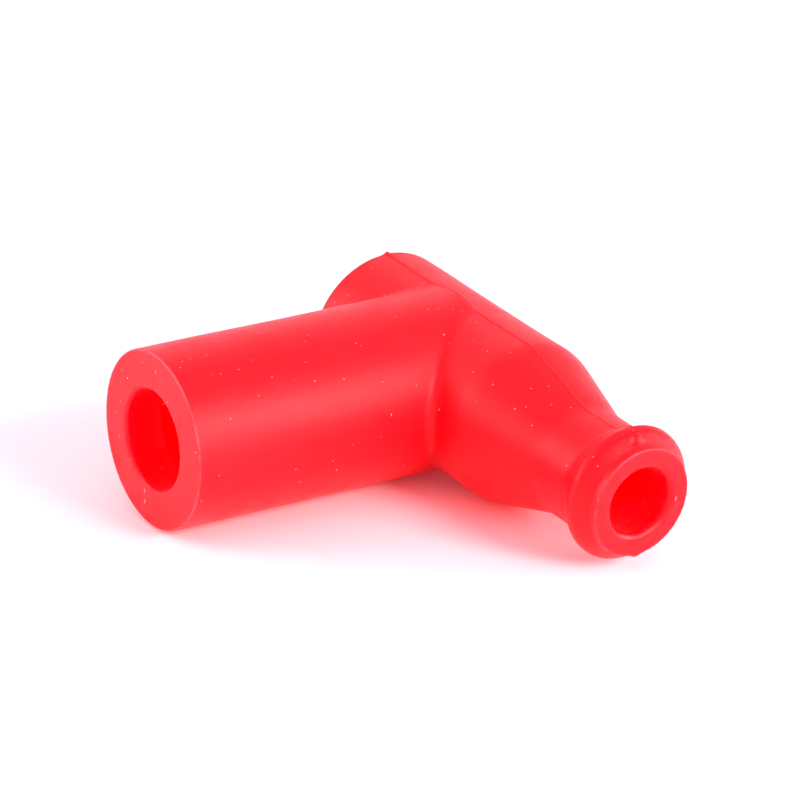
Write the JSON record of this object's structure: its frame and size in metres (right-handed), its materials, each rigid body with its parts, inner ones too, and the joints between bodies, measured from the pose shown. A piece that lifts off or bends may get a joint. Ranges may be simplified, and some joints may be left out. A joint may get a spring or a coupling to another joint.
{
  "type": "spark plug cap",
  "caption": "Right-angle silicone spark plug cap: plug tube, elbow body and beaded cable end over an insulated core with resistor and screw-in plug terminal.",
  "frame": {"origin": "centre of the plug mouth", "axes": "+X out of the plug mouth along the plug bore, +Y out of the cable end along the cable bore, +Z normal to the plane of the two bores"},
  "size_m": [0.0483, 0.0502, 0.0202],
  "materials": {
    "silicone": "satin moulded silicone rubber",
    "phenolic": "dark moulded phenolic",
    "brass": "turned brass",
    "spring_steel": "drawn spring wire",
    "nickel": "nickel-plated steel",
    "ceramic": "unglazed resistor ceramic",
    "seal_rubber": "black rubber"
  },
  "bodies": {
    "cap": {"boot": "silicone", "insulator_core": "phenolic", "core_end_plug": "phenolic", "contact_bar": "brass", "contact_spring": "spring_steel", "resistor_rod": "ceramic", "resistor_cap_rear": "nickel", "resistor_cap_front": "nickel", "cable_screw": "brass"},
    "washer": {"seal_washer": "seal_rubber"},
    "socket": {"terminal_socket": "brass", "snap_clip": "spring_steel"}
  },
  "joints": [
    {"name": "socket_slide", "type": "slide", "parent": "cap", "child": "washer", "axis": [1, 0, 0], "range_m": [0, 0.0042]},
    {"name": "socket_turn", "type": "hinge", "parent": "washer", "child": "socket", "pos_m": [-0.0256, 0, 0], "axis": [1, 0, 0], "range_deg": [0, 2160]}
  ],
  "couplings": [
    {"joint": "socket_turn", "follows": "socket_slide", "rad_per_m": 8976}
  ]
}
